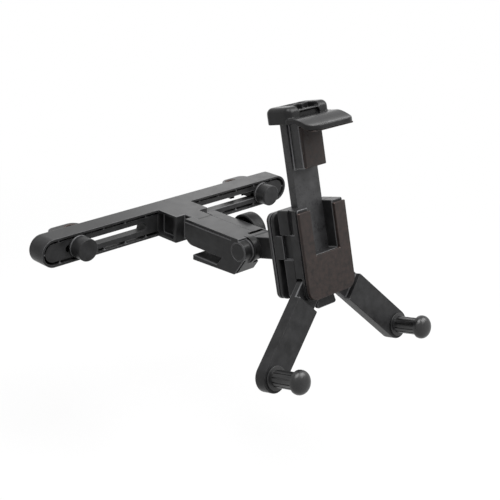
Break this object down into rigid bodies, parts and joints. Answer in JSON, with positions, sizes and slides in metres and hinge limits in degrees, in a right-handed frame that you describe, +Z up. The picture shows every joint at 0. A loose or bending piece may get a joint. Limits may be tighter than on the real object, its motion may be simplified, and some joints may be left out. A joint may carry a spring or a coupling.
{
  "type": "headrest tablet mount",
  "caption": "Black plastic tablet mount for a car headrest: slotted crossbar with post clamps, locking tilt arm, padded holder with a sliding top jaw and splayed legs with pegs.",
  "frame": {"origin": "half way between the bar's ends, level with its middle, in the plane of the two headrest posts", "axes": "+X along the crossbar, +Y towards the headrest, +Z up along the posts"},
  "size_m": [0.27, 0.2516, 0.1979],
  "materials": {
    "body_plastic": "fine satin moulding grain",
    "knob_plastic": "matte, softly worn grip",
    "gloss_plastic": "polished",
    "peg_plastic": "smooth, semi-gloss",
    "pad_rubber": "matte, fine grain",
    "steel": "zinc plated"
  },
  "bodies": {
    "bar": {"crossbar": "body_plastic"},
    "left_carriage": {"left_clamp_collar": "body_plastic"},
    "left_knob": {"left_clamp_knob": "knob_plastic", "left_clamp_screw": "steel"},
    "left_jaw": {"left_clamp_jaw": "body_plastic", "left_clamp_liner": "pad_rubber", "left_clamp_nut": "steel"},
    "right_carriage": {"right_clamp_collar": "body_plastic"},
    "right_knob": {"right_clamp_knob": "knob_plastic", "right_clamp_screw": "steel"},
    "right_jaw": {"right_clamp_jaw": "body_plastic", "right_clamp_liner": "pad_rubber", "right_clamp_nut": "steel"},
    "arm": {"arm_left_half": "body_plastic", "arm_right_half": "body_plastic", "arm_bolt": "steel"},
    "arm_lock": {"arm_knob": "knob_plastic", "arm_nut": "steel"},
    "knuckle": {"tilt_knuckle": "body_plastic", "swivel_washer": "steel", "swivel_screw": "steel"},
    "holder": {"rear_plate": "body_plastic", "clip_plate": "body_plastic", "rear_housing": "body_plastic", "brake_spring": "steel", "front_housing": "body_plastic", "face_pad": "pad_rubber", "plate_screws": "steel", "housing_screws": "steel", "leg_pins": "steel"},
    "slider": {"slider_rail": "body_plastic", "block_pad": "pad_rubber", "top_jaw": "gloss_plastic", "lip_pad": "pad_rubber", "jaw_screws": "steel"},
    "left_foot": {"left_leg": "body_plastic", "left_peg": "peg_plastic", "left_peg_screw": "steel"},
    "right_foot": {"right_leg": "body_plastic", "right_peg": "peg_plastic", "right_peg_screw": "steel"}
  },
  "joints": [
    {"name": "left_clamp_slide", "type": "slide", "parent": "bar", "child": "left_carriage", "axis": [1, 0, 0], "range_m": [-0.006, 0.063]},
    {"name": "left_knob_turn", "type": "hinge", "parent": "left_carriage", "child": "left_knob", "pos_m": [-0.0994, -0.03, 0], "axis": [0, -1, 0], "range_deg": [0, 1800]},
    {"name": "left_jaw_travel", "type": "slide", "parent": "left_carriage", "child": "left_jaw", "axis": [0, 1, 0], "range_m": [0, 0.004]},
    {"name": "right_clamp_slide", "type": "slide", "parent": "bar", "child": "right_carriage", "axis": [1, 0, 0], "range_m": [-0.068, 0.001]},
    {"name": "right_knob_turn", "type": "hinge", "parent": "right_carriage", "child": "right_knob", "pos_m": [0.1047, -0.03, 0], "axis": [0, -1, 0], "range_deg": [0, 1800]},
    {"name": "right_jaw_travel", "type": "slide", "parent": "right_carriage", "child": "right_jaw", "axis": [0, 1, 0], "range_m": [0, 0.004]},
    {"name": "arm_tilt", "type": "hinge", "parent": "bar", "child": "arm", "pos_m": [0, -0.06085, 0.0011], "axis": [1, 0, 0], "range_deg": [-20, 50]},
    {"name": "arm_knob_turn", "type": "hinge", "parent": "arm", "child": "arm_lock", "pos_m": [0.02, -0.08935, 0.0011], "axis": [1, 0, 0], "range_deg": [0, 360]},
    {"name": "holder_tilt", "type": "hinge", "parent": "arm", "child": "knuckle", "pos_m": [0.0085, -0.11785, 0.0011], "axis": [1, 0, 0], "range_deg": [-40, 40]},
    {"name": "holder_swivel", "type": "hinge", "parent": "knuckle", "child": "holder", "pos_m": [0.0085, -0.15667, 0.01073], "axis": [0, -0.9706, 0.2407], "continuous": true},
    {"name": "slider_travel", "type": "slide", "parent": "holder", "child": "slider", "axis": [0, 0.2407, 0.9706], "range_m": [-0.058, 0.012]},
    {"name": "left_leg_swing", "type": "hinge", "parent": "holder", "child": "left_foot", "pos_m": [-0.0105, -0.186, -0.01157], "axis": [0, -0.9706, 0.2407], "range_deg": [-44, 30]},
    {"name": "right_leg_swing", "type": "hinge", "parent": "holder", "child": "right_foot", "pos_m": [0.0275, -0.186, -0.01157], "axis": [0, -0.9706, 0.2407], "range_deg": [-29, 44]}
  ],
  "couplings": [
    {"joint": "left_jaw_travel", "follows": "left_knob_turn", "m_per_rad": 0.00012732},
    {"joint": "right_jaw_travel", "follows": "right_knob_turn", "m_per_rad": 0.00012732}
  ]
}
